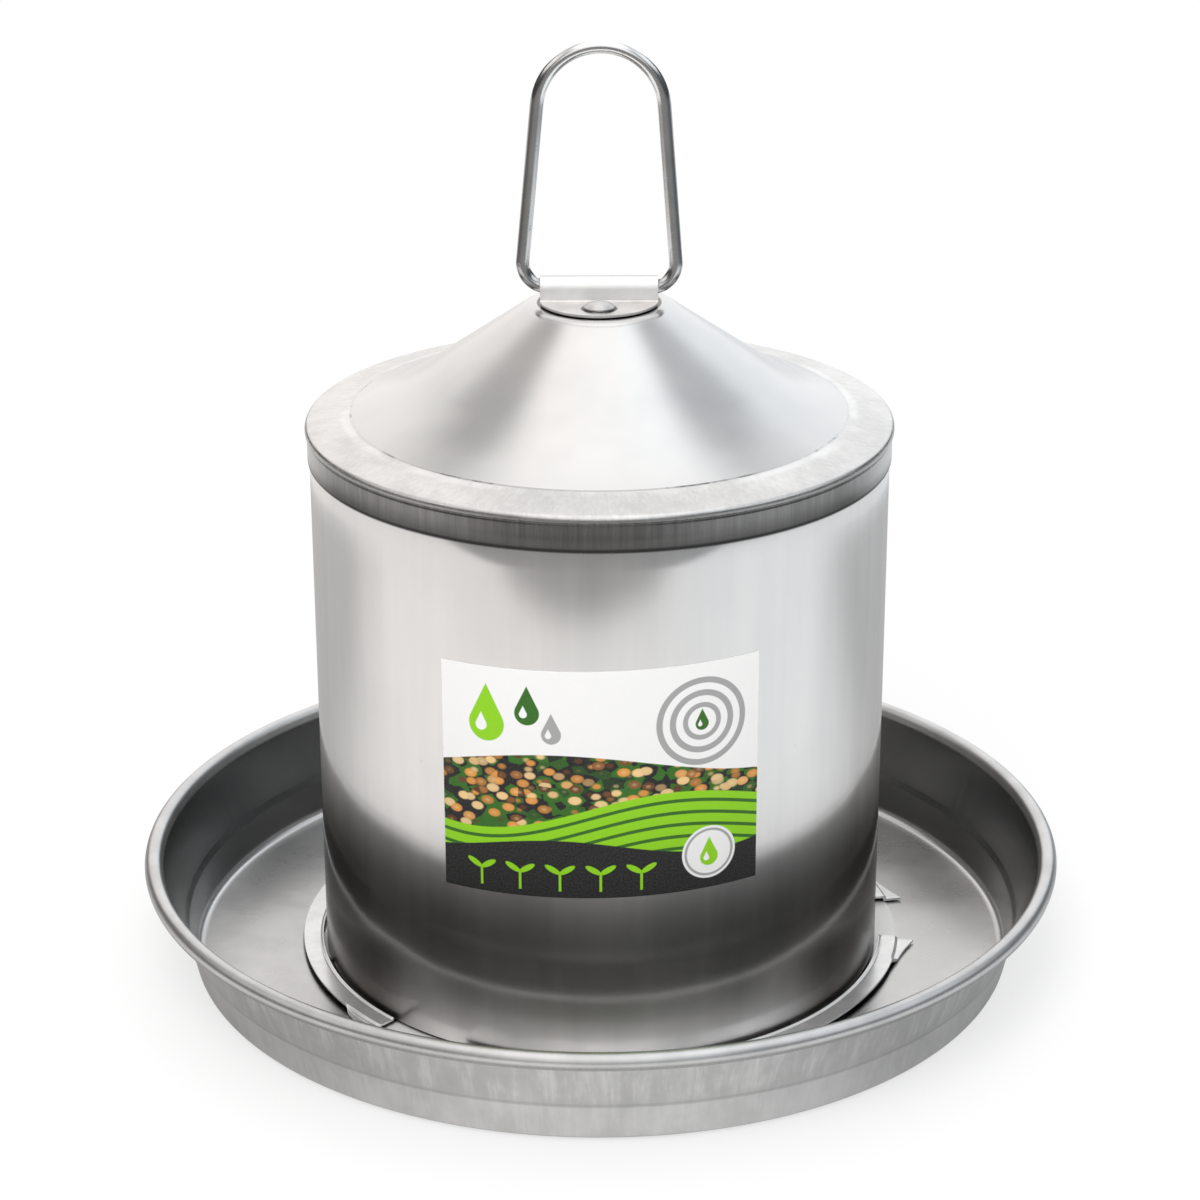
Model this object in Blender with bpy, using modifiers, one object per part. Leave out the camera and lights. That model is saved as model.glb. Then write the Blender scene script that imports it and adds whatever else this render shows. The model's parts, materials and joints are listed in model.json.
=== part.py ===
# Poultry waterer fount: a pressed trough, a sealed tank that twists onto it, and a wire bail to hang it by.
# Metres, +Z up. The origin is the centre of the trough's underside and the tank's axis is Z.
import math

import bmesh
import bpy
from mathutils import Matrix, Vector

MM = 0.001

# Fits
SEAT_GAP = 0.3 * MM  # between pieces that touch
SEAM_GAP = 0.4 * MM  # between a curved clip and the wall it is welded to

# Trough
TROUGH_RIM_R = 114.0 * MM
TROUGH_H = 28.0 * MM
TROUGH_SHEET = 0.6 * MM
TROUGH_BEAD_R = 2.1 * MM
TROUGH_BEAD_SWEEP = math.radians(275.0)
TROUGH_BASE_R = 102.2 * MM
TROUGH_BASE_ROUND = 2.6 * MM
JOGGLE_R = 104.3 * MM  # outer radius of the wall just below the joggle
JOGGLE_Z = 9.4 * MM
JOGGLE_OUT = 0.9 * MM
JOGGLE_RISE = 1.7 * MM
JOGGLE_ROUND = 1.2 * MM

# Keepers and lock lugs, a bayonet between the trough floor and the tank's foot
KEEPER_SHEET = 0.6 * MM
KEEPER_W = 4.9 * MM
KEEPER_SIDE_GAP = 0.9 * MM  # from the tank wall to a keeper's inner edge
KEEPER_GAPS = (math.radians(2.5), math.radians(118.0), math.radians(233.5))
KEEPER_GAP_SPAN = math.radians(17.0)
EAR_SPAN = math.radians(10.0)
EAR_REACH = 4.0 * MM
EAR_TOE = 0.9 * MM  # reach of an ear where it leaves the band
EAR_BEND_SPAN = math.radians(1.6)
LUG_SHEET = 0.6 * MM
LUG_W = 14.0 * MM
LUG_LEG_H = 9.0 * MM
LUG_SIDE_GAP = 0.7 * MM  # from a lug's toe to the bend of a keeper's ear
LOCK_TWIST = math.radians(45.0)  # from locked back to the gap

# Tank
TANK_R = 69.5 * MM
TANK_H = 134.2 * MM
TANK_SHEET = 0.5 * MM
OUTLET_R = 2.5 * MM
OUTLET_Z = 10.5 * MM  # above the tank's foot
OUTLET_AZIMUTH = math.radians(90.0)

# Lid
LID_SHEET = 0.6 * MM
LID_CORNER_ROUND = 1.8 * MM
LID_SKIRT_H = 8.25 * MM
LID_RIM_W = 11.1 * MM
LID_RIM_PITCH = math.radians(11.6)
LID_FLARE_W = 9.3 * MM
LID_FLARE_PITCH = math.radians(18.7)
LID_FLARE_ROUND = 50.0 * MM
LID_CONE_PITCH = math.radians(34.6)
LID_TOP_MARGIN = 2.6 * MM  # flat left round the bracket's feet
LID_TOP_ROUND = 3.0 * MM
SEAL_T = 0.7 * MM
SEAL_W = 1.2 * MM
SEAL_INSET = 0.3 * MM  # from the tank's outer face
SEAL_ROOM = 0.2 * MM  # left over the seal under the lid's rounded corner

# Bail and its bracket
WIRE_R = 1.6 * MM
BAIL_H = 57.3 * MM  # pivot to the middle of the wire at the top
BAIL_TOP_R = 14.8 * MM
BAIL_CORNER_R = 6.0 * MM
BAIL_BUTT_GAP = 0.6 * MM
BARREL_SLACK = 0.6 * MM
BARREL_HALF_W = 13.9 * MM
BARREL_LIFT = 1.4 * MM  # from the lid's flat top to the barrel's bore
BRACKET_SHEET = 0.6 * MM
BRACKET_FOOT_R = 14.2 * MM
BRACKET_BEND_R = 0.9 * MM
RIVET_SHANK_R = 1.6 * MM
RIVET_HEAD_R = 3.6 * MM
RIVET_HEAD_H = 1.5 * MM
RIVET_TAIL_R = 2.7 * MM
RIVET_TAIL_H = 1.4 * MM
WASHER_R = 4.4 * MM
WASHER_T = 0.8 * MM

# Label
LABEL_W = 75.7 * MM  # along the wall
LABEL_H = 58.0 * MM
LABEL_LIFT = 42.1 * MM  # above the tank's foot
LABEL_T = 0.15 * MM
LABEL_AZIMUTH = math.radians(-90.0)

# Fineness
TURN_STEPS = 48
SMALL_TURN_STEPS = 16
ARC_STEP = math.radians(24.0)
FINE_ARC_STEP = math.radians(14.0)
BEAD_ARC_STEP = math.radians(34.0)
SWEEP_STEP = math.radians(6.0)
WIRE_ROUNDNESS = 3
SMOOTH_UNDER = math.radians(30.0)
WELD = 0.00001
TINY = 0.000001

# Places that follow from the sizes above
FLOOR_Z = TROUGH_SHEET
LUG_Z = FLOOR_Z + SEAT_GAP
KEEPER_Z = LUG_Z + LUG_SHEET + SEAT_GAP
TANK_FOOT_Z = LUG_Z + LUG_SHEET + SEAT_GAP
TANK_TOP_Z = TANK_FOOT_Z + TANK_H
KEEPER_IN_R = TANK_R + KEEPER_SIDE_GAP
KEEPER_OUT_R = KEEPER_IN_R + KEEPER_W
LID_R = TANK_R + SEAT_GAP + LID_SHEET
SEAL_Z = TANK_TOP_Z + SEAT_GAP
LID_RIM_Z = SEAL_Z + SEAL_T + SEAT_GAP + SEAL_ROOM + LID_SHEET
LID_CREASE_R = LID_R - LID_RIM_W
LID_CREASE_Z = LID_RIM_Z + LID_RIM_W * math.tan(LID_RIM_PITCH)
LID_FLARE_R = LID_CREASE_R - LID_FLARE_W
LID_FLARE_Z = LID_CREASE_Z + LID_FLARE_W * math.tan(LID_FLARE_PITCH)
LID_FLAT_R = BRACKET_FOOT_R + LID_TOP_MARGIN
LID_TOP_Z = LID_FLARE_Z + (LID_FLARE_R - LID_FLAT_R) * math.tan(LID_CONE_PITCH)
BARREL_BORE_R = WIRE_R + BARREL_SLACK
BRACKET_Z = LID_TOP_Z + SEAT_GAP
PIVOT_Z = LID_TOP_Z + BARREL_LIFT + BARREL_BORE_R
RIVET_Y = (BARREL_BORE_R + BRACKET_SHEET + BRACKET_FOOT_R) / 2
RIVET_HEAD_Z = BRACKET_Z + BRACKET_SHEET + SEAT_GAP
WASHER_Z = LID_TOP_Z - LID_SHEET - SEAT_GAP - WASHER_T
RIVET_TAIL_Z = WASHER_Z - SEAT_GAP


def clear_scene():
    for old in list(bpy.data.objects):
        bpy.data.objects.remove(old, do_unlink=True)


def new_collection(name):
    made = bpy.data.collections.new(name)
    bpy.context.scene.collection.children.link(made)
    return made


def material(name, colour, roughness, metallic):
    made = bpy.data.materials.new(name)
    made.use_nodes = True
    shader = made.node_tree.nodes["Principled BSDF"]
    shader.inputs["Base Color"].default_value = (*colour, 1.0)
    shader.inputs["Roughness"].default_value = roughness
    shader.inputs["Metallic"].default_value = metallic
    return made


def add_part(name, mesh, finish, parent=None):
    mesh.shade_smooth()
    mesh.set_sharp_from_angle(angle=SMOOTH_UNDER)
    mesh.materials.append(finish)
    made = bpy.data.objects.new(name, mesh)
    parts.objects.link(made)
    made.parent = parent
    return made


def add_empty(name, height, parent=None):
    made = bpy.data.objects.new(name, None)
    parts.objects.link(made)
    made.parent = parent
    made.location.z = height
    return made


def on_circle(centre, radius, angle):
    return Vector((centre[0] + radius * math.cos(angle), centre[1] + radius * math.sin(angle)))


def arc(centre, radius, start, end, step=ARC_STEP):
    count = max(1, math.ceil(abs(end - start) / step - TINY))
    return [on_circle(centre, radius, start + (end - start) * i / count) for i in range(count + 1)]


def rounded(corners):
    """The outline through (x, y, radius) corners, each rounded by an arc of its radius."""
    places = [Vector(corner[:2]) for corner in corners]
    outline = [places[0]]
    for before, here, after, corner in zip(places, places[1:], places[2:], corners[1:]):
        into, out = (here - before).normalized(), (after - here).normalized()
        turn = into.angle_signed(out)
        radius = corner[2]
        if radius == 0 or abs(turn) < TINY:
            outline.append(here)
            continue
        side = -1 if turn > 0 else 1
        tangent = radius * math.tan(abs(turn) / 2)
        normal = Vector((-into.y, into.x)) * side
        centre = here - into * tangent + normal * radius
        start = math.atan2(-normal.y, -normal.x)
        outline += arc(centre, radius, start, start - turn)
    outline.append(places[-1])
    return outline


def sheet_outline(path, thickness):
    """The closed outline of a bent sheet that has this path as its middle line."""
    sides = []
    for i, here in enumerate(path):
        into = (here - path[i - 1]).normalized() if i else None
        out = (path[i + 1] - here).normalized() if i + 1 < len(path) else into
        along = out if into is None else (into + out).normalized()
        widen = along.dot(out)
        sides.append(Vector((-along.y, along.x)) * thickness / 2 / widen)
    return [p + s for p, s in zip(path, sides)] + [p - s for p, s in reversed(list(zip(path, sides)))]


def profile_mesh(name, profile, closed):
    mesh = bpy.data.meshes.new(name)
    count = len(profile)
    edges = [(i, (i + 1) % count) for i in range(count if closed else count - 1)]
    mesh.from_pydata([(p[0], 0, p[1]) for p in profile], edges, [])
    return mesh


def turned(name, profile, finish, parent=None, closed=False, steps=TURN_STEPS):
    """Turns an (r, z) profile about Z. The profile runs down its outer side."""
    made = add_part(name, profile_mesh(name, profile, closed), finish, parent)
    screw = made.modifiers.new("Turn", "SCREW")
    screw.steps = steps
    screw.render_steps = steps
    screw.use_merge_vertices = True
    screw.merge_threshold = WELD
    screw.use_smooth_shade = True
    return made


def thicken(made, thickness):
    shell = made.modifiers.new("Sheet", "SOLIDIFY")
    shell.thickness = thickness
    shell.offset = -1
    shell.use_even_offset = True


def ring_section(inner, outer, low, high):
    return [(outer, high), (outer, low), (inner, low), (inner, high)]


def swept(name, section_at, start, end, stops, finish, parent=None):
    """Lofts the (r, z) sections of section_at round Z, from start to end and with a station at each stop."""
    count = max(1, math.ceil((end - start) / SWEEP_STEP))
    angles = {round(start + (end - start) * i / count, 6) for i in range(count + 1)}
    angles = sorted(angles | {round(stop, 6) for stop in stops})
    shape = bmesh.new()
    loops = []
    for angle in angles:
        turn = Matrix.Rotation(angle, 4, "Z")
        loops.append([shape.verts.new(turn @ Vector((r, 0, z))) for r, z in section_at(angle)])
    for near, far in zip(loops, loops[1:]):
        for i in range(len(near)):
            shape.faces.new((near[i - 1], near[i], far[i], far[i - 1]))
    shape.faces.new(reversed(loops[0]))
    shape.faces.new(loops[-1])
    bmesh.ops.recalc_face_normals(shape, faces=shape.faces)
    mesh = bpy.data.meshes.new(name)
    shape.to_mesh(mesh)
    shape.free()
    return add_part(name, mesh, finish, parent)


def add_cutter(name, radius, depth, place, axis="Z"):
    shape = bmesh.new()
    bmesh.ops.create_cone(
        shape, cap_ends=True, segments=TURN_STEPS, radius1=radius, radius2=radius, depth=depth
    )
    if axis == "Y":
        bmesh.ops.rotate(shape, matrix=Matrix.Rotation(math.pi / 2, 3, "X"), verts=shape.verts)
    mesh = bpy.data.meshes.new(name)
    shape.to_mesh(mesh)
    shape.free()
    made = bpy.data.objects.new(name, mesh)
    cutters.objects.link(made)
    made.location = place
    made.hide_render = True
    made.display_type = "WIRE"
    return made


def boolean(made, cutter, operation):
    step = made.modifiers.new(cutter.name, "BOOLEAN")
    step.operation = operation
    step.solver = "EXACT"
    step.object = cutter


def curve_mesh(curve):
    """The closed mesh of a filled curve, with its caps welded on."""
    holder = bpy.data.objects.new(curve.name, curve)
    parts.objects.link(holder)
    bpy.context.view_layer.update()
    mesh = bpy.data.meshes.new_from_object(holder.evaluated_get(bpy.context.evaluated_depsgraph_get()))
    bpy.data.objects.remove(holder, do_unlink=True)
    shape = bmesh.new()
    shape.from_mesh(mesh)
    bmesh.ops.remove_doubles(shape, verts=shape.verts, dist=WELD)
    bmesh.ops.recalc_face_normals(shape, faces=shape.faces)
    shape.to_mesh(mesh)
    shape.free()
    return mesh


def poly_curve(name, points, closed, dimensions):
    curve = bpy.data.curves.new(name, "CURVE")
    curve.dimensions = dimensions
    spline = curve.splines.new("POLY")
    spline.points.add(len(points) - 1)
    for knot, place in zip(spline.points, points):
        knot.co = (*place, 1.0)
    spline.use_cyclic_u = closed
    return curve


# Trough: the sheet's outer face from the axis to the end of the rolled bead, turned and thickened inwards.
def make_trough():
    curl_r = TROUGH_BEAD_R - TROUGH_SHEET
    curl = Vector((TROUGH_RIM_R - TROUGH_BEAD_R, TROUGH_H - TROUGH_BEAD_R))
    wall_foot = Vector((JOGGLE_R + JOGGLE_OUT, JOGGLE_Z + JOGGLE_RISE))
    to_curl = curl - wall_foot
    lean = math.atan2(to_curl.y, to_curl.x) + math.asin(curl_r / to_curl.length)
    start = lean + math.pi / 2
    bead = arc(curl, curl_r, start, start - TROUGH_BEAD_SWEEP, BEAD_ARC_STEP)
    wall = rounded([
        (0, 0, 0),
        (TROUGH_BASE_R, 0, TROUGH_BASE_ROUND),
        (JOGGLE_R, JOGGLE_Z, JOGGLE_ROUND),
        (*wall_foot, JOGGLE_ROUND),
        (*bead[0], 0),
    ])
    dish = turned("trough_dish", list(reversed(wall + bead[1:])), trough_steel)
    thicken(dish, TROUGH_SHEET)


# Keepers: raised arc strips with an ear bent down to the floor at each end.
def keeper_section(reach):
    top, under = KEEPER_Z + KEEPER_SHEET, KEEPER_Z
    bend_r = KEEPER_OUT_R - KEEPER_SHEET
    if reach == 0:
        third = KEEPER_SHEET / 3
        edge = [(KEEPER_OUT_R, top), (KEEPER_OUT_R, top - third), (KEEPER_OUT_R, under + third),
                (KEEPER_OUT_R, under)]
    else:
        foot, sole = LUG_Z + KEEPER_SHEET, LUG_Z
        toe_r = KEEPER_OUT_R + reach
        edge = [(KEEPER_OUT_R, foot), (toe_r, foot), (toe_r, sole), (bend_r, sole)]
    return [(KEEPER_IN_R, top), (bend_r, top), *edge, (bend_r, under), (KEEPER_IN_R, under)]


def make_keepers():
    ends = [*KEEPER_GAPS[1:], KEEPER_GAPS[0] + 2 * math.pi]
    for number, (before, after) in enumerate(zip(KEEPER_GAPS, ends), 1):
        start, end = before + KEEPER_GAP_SPAN / 2, after - KEEPER_GAP_SPAN / 2

        def section_at(angle, start=start, end=end):
            inside = min(angle - start, end - angle)
            if inside > EAR_SPAN - EAR_BEND_SPAN / 2:
                return keeper_section(0)
            share = 1 - inside / EAR_SPAN
            return keeper_section(EAR_TOE + (EAR_REACH - EAR_TOE) * share * share)

        near = [start + EAR_SPAN - EAR_BEND_SPAN, start + EAR_SPAN]
        far = [end - EAR_SPAN, end - EAR_SPAN + EAR_BEND_SPAN]
        swept(f"keeper_{number}", section_at, start, end, near + far, trough_steel)


# Tank: a plain tube with its outlet hole low at the back.
def make_tank():
    wall = turned("tank_wall", [(TANK_R, TANK_TOP_Z), (TANK_R, TANK_FOOT_Z)], tank_steel, tank_axis)
    thicken(wall, TANK_SHEET)
    outlet = add_cutter("outlet_cutter", OUTLET_R, TANK_R, (
        TANK_R * math.cos(OUTLET_AZIMUTH),
        TANK_R * math.sin(OUTLET_AZIMUTH),
        TANK_FOOT_Z + OUTLET_Z,
    ), axis="Y")
    outlet.rotation_euler.z = OUTLET_AZIMUTH - math.pi / 2
    boolean(wall, outlet, "DIFFERENCE")


def make_lugs():
    leg_out = TANK_R - TANK_SHEET - SEAM_GAP
    leg_in = leg_out - LUG_SHEET
    toe = KEEPER_OUT_R - KEEPER_SHEET - LUG_SIDE_GAP
    top, step, sole = LUG_Z + LUG_LEG_H, LUG_Z + LUG_SHEET, LUG_Z
    section = [(leg_in, top), (leg_out, top), (leg_out, step), (toe, step), (toe, sole), (leg_in, sole)]
    half = LUG_W / TANK_R / 2
    for number, gap in enumerate(KEEPER_GAPS, 1):
        middle = gap - LOCK_TWIST
        swept(f"lock_lug_{number}", lambda angle: section, middle - half, middle + half, [middle], tank_steel,
              tank_axis)


# Lid: skirt, sloping rim, flared cone and flat top in one drawn sheet, with its seal on the tank's edge.
def make_lid():
    outer_face = rounded([
        (0, LID_TOP_Z, 0),
        (LID_FLAT_R, LID_TOP_Z, LID_TOP_ROUND),
        (LID_FLARE_R, LID_FLARE_Z, LID_FLARE_ROUND),
        (LID_CREASE_R, LID_CREASE_Z, 0),
        (LID_R, LID_RIM_Z, LID_CORNER_ROUND),
        (LID_R, LID_RIM_Z - LID_SKIRT_H, 0),
    ])
    lid = turned("top_cone", outer_face, lid_steel, tank_axis)
    thicken(lid, LID_SHEET)
    for hole in rivet_holes.values():
        boolean(lid, hole, "DIFFERENCE")
    seal_r = TANK_R - SEAL_INSET
    seal = ring_section(seal_r - SEAL_W, seal_r, SEAL_Z, SEAL_Z + SEAL_T)
    turned("lid_seal", seal, seal_rubber, tank_axis, closed=True)


# Bracket: a strap over the wire with a foot on each side, trimmed to a round plan and riveted down.
def make_bracket():
    middle_r = BARREL_BORE_R + BRACKET_SHEET / 2
    foot_z = BRACKET_Z + BRACKET_SHEET / 2
    reach = BRACKET_FOOT_R + BRACKET_SHEET
    over = arc((0, PIVOT_Z), middle_r, 0, math.pi)
    rear = rounded([(reach, foot_z, 0), (middle_r, foot_z, BRACKET_BEND_R), (*over[0], 0)])
    front = [Vector((-p.x, p.y)) for p in reversed(rear)]
    outline = sheet_outline(rear + over[1:-1] + front, BRACKET_SHEET)
    curve = poly_curve("bracket_outline", [(*p, 0) for p in outline], True, "2D")
    curve.fill_mode = "BOTH"
    curve.extrude = BARREL_HALF_W
    mesh = curve_mesh(curve)
    mesh.transform(Matrix.Rotation(math.pi / 2, 4, "Z") @ Matrix.Rotation(math.pi / 2, 4, "X"))
    bracket = add_part("handle_bracket", mesh, bracket_steel, tank_axis)
    tall = 2 * (PIVOT_Z - LID_TOP_Z + BRACKET_SHEET)
    plan = add_cutter("bracket_plan", BRACKET_FOOT_R, tall, (0, 0, PIVOT_Z))
    boolean(bracket, plan, "INTERSECT")
    for hole in rivet_holes.values():
        boolean(bracket, hole, "DIFFERENCE")


# Rivets: a domed head on each foot, a shank through foot and lid, and a sealing washer under the lid.
def make_rivet_holes():
    low, high = RIVET_TAIL_Z, RIVET_HEAD_Z + RIVET_HEAD_H
    bore = RIVET_SHANK_R + SEAT_GAP
    holes = {}
    for word, offset in (("front", -RIVET_Y), ("rear", RIVET_Y)):
        holes[word] = add_cutter(f"rivet_hole_{word}", bore, high - low, (0, offset, (low + high) / 2))
    return holes


def make_rivets():
    dome_r = (RIVET_HEAD_R ** 2 + RIVET_HEAD_H ** 2) / (2 * RIVET_HEAD_H)
    spread = math.asin(RIVET_HEAD_R / dome_r)
    crown = RIVET_HEAD_Z + RIVET_HEAD_H - dome_r
    dome = arc((0, crown), dome_r, math.pi / 2, math.pi / 2 - spread, FINE_ARC_STEP)
    end = RIVET_TAIL_Z - RIVET_TAIL_H
    shank = [(RIVET_SHANK_R, RIVET_HEAD_Z), (RIVET_SHANK_R, RIVET_TAIL_Z)]
    rivet = [*dome, *shank, (RIVET_TAIL_R, RIVET_TAIL_Z), (RIVET_TAIL_R, end), (0, end)]
    washer = ring_section(RIVET_SHANK_R + SEAT_GAP, WASHER_R, WASHER_Z, WASHER_Z + WASHER_T)
    for word, hole in rivet_holes.items():
        head = turned(f"bracket_rivet_{word}", rivet, bracket_steel, tank_axis, False, SMALL_TURN_STEPS)
        seat = turned(f"rivet_washer_{word}", washer, seal_rubber, tank_axis, True, SMALL_TURN_STEPS)
        head.location.y = seat.location.y = hole.location.y


# Label: a thin curved sticker on the tank's front.
def make_label():
    inner = TANK_R + SEAT_GAP
    low = TANK_FOOT_Z + LABEL_LIFT
    section = ring_section(inner, inner + LABEL_T, low, low + LABEL_H)
    half = LABEL_W / TANK_R / 2
    swept("front_label", lambda angle: section, LABEL_AZIMUTH - half, LABEL_AZIMUTH + half, [], label_paper,
          tank_axis)


# Bail: one bent wire whose ends meet inside the barrel, where its bends take up half the slack.
def make_bail():
    top = Vector((0, BAIL_H - BAIL_TOP_R))
    straight = BARREL_HALF_W - math.sqrt(BAIL_CORNER_R * BARREL_SLACK)
    corner = Vector((straight, BAIL_CORNER_R))
    span = top - corner
    lean = math.atan2(-span.x, span.y) + math.asin((BAIL_CORNER_R - BAIL_TOP_R) / span.length)
    half = [Vector((BAIL_BUTT_GAP / 2, 0)), *arc(corner, BAIL_CORNER_R, -math.pi / 2, lean, FINE_ARC_STEP)]
    half += arc(top, BAIL_TOP_R, lean, math.pi / 2, FINE_ARC_STEP)
    path = half + [Vector((-p.x, p.y)) for p in reversed(half[:-1])]
    curve = poly_curve("bail_wire", [(p.x, 0, p.y) for p in path], False, "3D")
    curve.bevel_depth = WIRE_R
    curve.bevel_resolution = WIRE_ROUNDNESS
    curve.use_fill_caps = True
    add_part("bail_handle", curve_mesh(curve), bail_steel, bail_pivot)


clear_scene()
parts = new_collection("poultry_waterer_fount")
cutters = new_collection("cutters")
trough_steel = material("trough_steel", (0.56, 0.56, 0.55), 0.34, 1.0)
tank_steel = material("tank_steel", (0.62, 0.62, 0.62), 0.24, 1.0)
lid_steel = material("lid_steel", (0.60, 0.60, 0.59), 0.30, 1.0)
bracket_steel = material("bracket_steel", (0.66, 0.66, 0.64), 0.25, 1.0)
bail_steel = material("bail_steel", (0.50, 0.50, 0.49), 0.28, 1.0)
seal_rubber = material("seal_rubber", (0.05, 0.05, 0.05), 0.7, 0.0)
label_paper = material("label_paper", (0.85, 0.86, 0.84), 0.4, 0.0)
tank_axis = add_empty("tank_axis", 0)
bail_pivot = add_empty("bail_pivot", PIVOT_Z, tank_axis)
make_trough()
make_keepers()
make_tank()
make_lugs()
rivet_holes = make_rivet_holes()
make_lid()
make_bracket()
make_rivets()
make_label()
make_bail()
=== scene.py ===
import json
import math

import bmesh
import bpy
from mathutils import Matrix, Vector


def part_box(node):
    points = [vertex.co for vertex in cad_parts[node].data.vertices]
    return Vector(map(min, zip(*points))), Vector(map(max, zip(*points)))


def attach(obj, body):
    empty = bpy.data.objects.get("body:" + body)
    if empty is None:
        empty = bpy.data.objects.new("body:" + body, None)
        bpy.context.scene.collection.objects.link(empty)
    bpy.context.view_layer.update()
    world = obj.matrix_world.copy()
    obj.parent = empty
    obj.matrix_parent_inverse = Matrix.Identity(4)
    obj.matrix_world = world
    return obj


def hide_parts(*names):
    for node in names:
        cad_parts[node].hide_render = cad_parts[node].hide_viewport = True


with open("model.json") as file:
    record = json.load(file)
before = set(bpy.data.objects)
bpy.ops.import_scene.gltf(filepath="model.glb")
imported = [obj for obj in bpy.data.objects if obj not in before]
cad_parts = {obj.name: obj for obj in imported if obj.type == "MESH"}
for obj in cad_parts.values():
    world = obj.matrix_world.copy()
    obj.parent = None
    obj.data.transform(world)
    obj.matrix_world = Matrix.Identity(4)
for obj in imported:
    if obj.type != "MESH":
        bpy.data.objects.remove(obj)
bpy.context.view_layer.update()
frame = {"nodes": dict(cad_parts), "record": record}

mm = 0.001
tiny = 1e-7
scene = bpy.context.scene
scene.view_settings.view_transform = "Standard"

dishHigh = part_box("trough_dish")[1]
tankLow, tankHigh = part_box("tank_wall")
lidLow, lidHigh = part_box("top_cone")
rivetBoxes = {word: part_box(f"bracket_rivet_{word}") for word in ("front", "rear")}
hinges = {joint["name"]: joint for joint in frame["record"]["behaviour"]["joints"]}
pivotZ = hinges["bail_fold"]["pos_m"][2]
print("frame loaded:", len(frame["nodes"]), "nodes")


# Shader sums written as Python sums
class Wire:
    def __init__(self, tree, socket):
        self.tree = tree
        self.socket = socket

    def node(self, kind, settings=None, sockets=None, out=0):
        made = self.tree.nodes.new("ShaderNode" + kind)
        for key, value in (settings or {}).items():
            setattr(made, key, value)
        for key, value in (sockets or {}).items():
            if isinstance(value, Wire):
                self.tree.links.new(value.socket, made.inputs[key])
            else:
                made.inputs[key].default_value = value
        return Wire(self.tree, made.outputs[out])

    def maths(self, operation, *values):
        return self.node("Math", {"operation": operation}, dict(enumerate(values)))

    def __add__(self, other):
        return self.maths("ADD", self, other)

    def __sub__(self, other):
        return self.maths("SUBTRACT", self, other)

    def __rsub__(self, other):
        return self.maths("SUBTRACT", other, self)

    def __mul__(self, other):
        return self.maths("MULTIPLY", self, other)

    def __truediv__(self, other):
        return self.maths("DIVIDE", self, other)

    def __rtruediv__(self, other):
        return self.maths("DIVIDE", other, self)

    def __pow__(self, other):
        return self.maths("POWER", self, other)

    def __rpow__(self, other):
        return self.maths("POWER", other, self)

    __radd__ = __add__
    __rmul__ = __mul__

    def lowest(self, other):
        return self.maths("MINIMUM", self, other)

    def highest(self, other):
        return self.maths("MAXIMUM", self, other)

    def size(self):
        return self.maths("ABSOLUTE", self)

    def rise(self, low, high):  # 0 below low, 1 above high, smooth between
        return self.node("MapRange", {"interpolation_type": "SMOOTHSTEP"},
                         {"Value": self, "From Min": low, "From Max": high})

    def fall(self, low, high):  # 1 below low, 0 above high
        return 1 - self.rise(low, high)

    def band(self, start, full, fade, end):  # 0 up to start, 1 from full to fade, 0 from end on
        return self.rise(start, full) * self.fall(fade, end)

    def near(self, spot, core, edge):  # 1 within core of a value, 0 beyond edge
        return (self - spot).size().fall(core, edge)

    def blend(self, first, second):  # this value from 0 to 1 goes from the first colour to the second
        return self.node("Mix", {"data_type": "RGBA"}, {0: self, 6: first, 7: second}, out=2)

    def noise(self, scale, detail=2.0, rough=0.5):
        return self.node("TexNoise", None,
                         {"Vector": self, "Scale": scale, "Detail": detail, "Roughness": rough})

    def cells(self, scale, out="Distance"):
        return self.node("TexVoronoi", None, {"Vector": self, "Scale": scale}, out=out)

    def relief(self, depth, under=None):  # this height, scaled to depth, as a normal
        sockets = {"Height": self, "Distance": depth, "Strength": 1.0}
        if under:
            sockets["Normal"] = under
        return self.node("Bump", None, sockets)

    def axes(self):
        split = self.node("SeparateXYZ", None, {0: self}).socket.node
        return [Wire(self.tree, split.outputs[word]) for word in "XYZ"]

    def packed(self, x, y, z):
        return self.node("CombineXYZ", None, {0: x, 1: y, 2: z})


def grey(level, warm=0.0):
    return (level * (1 + warm), level, level * (1 - warm), 1.0)


# A new node material and its object coordinates, in metres in the part's own frame
def startFinish(name):
    finish = bpy.data.materials.new(name)
    finish.use_nodes = True
    tree = finish.node_tree
    place = Wire(tree, tree.nodes.new("ShaderNodeTexCoord").outputs["Object"])
    return finish, tree.nodes["Principled BSDF"].inputs, place


def plug(sockets, **values):  # a shader's sockets by name, with spaces as underscores
    for name, value in values.items():
        socket = sockets[name.replace("_", " ")]
        if isinstance(value, Wire):
            value.tree.links.new(value.socket, socket)
        else:
            socket.default_value = value


def layShaders(finish, *layers):  # each (share, shader) lies over the material's own shader
    tree = finish.node_tree
    surface = Wire(tree, tree.nodes["Principled BSDF"].outputs[0])
    for share, shader in layers:
        surface = surface.node("MixShader", None, {0: share, 1: surface, 2: shader})
    tree.links.new(surface.socket, tree.nodes["Material Output"].inputs["Surface"])


def roundPlace(place):  # the unit direction from the tank's axis, the height and the radius
    x, y, z = place.axes()
    radius = (x * x + y * y) ** 0.5
    safe = radius.highest(mm)
    return x / safe, y / safe, z, radius


def streaks(across, ahead, along, around, stretch, detail=2.0, rough=0.5):  # noise drawn out on a round wall
    return along.packed(across * around, ahead * around, along * stretch).noise(1.0, detail, rough)


# Sheet strip: faint clouds, and fine scratches along X
def stripMarks(place):
    x, y, z = place.axes()
    return place.noise(160.0, 3.0, 0.6), place.packed(x * 90, y * 900, z * 900).noise(1.0, 3.0)


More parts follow.
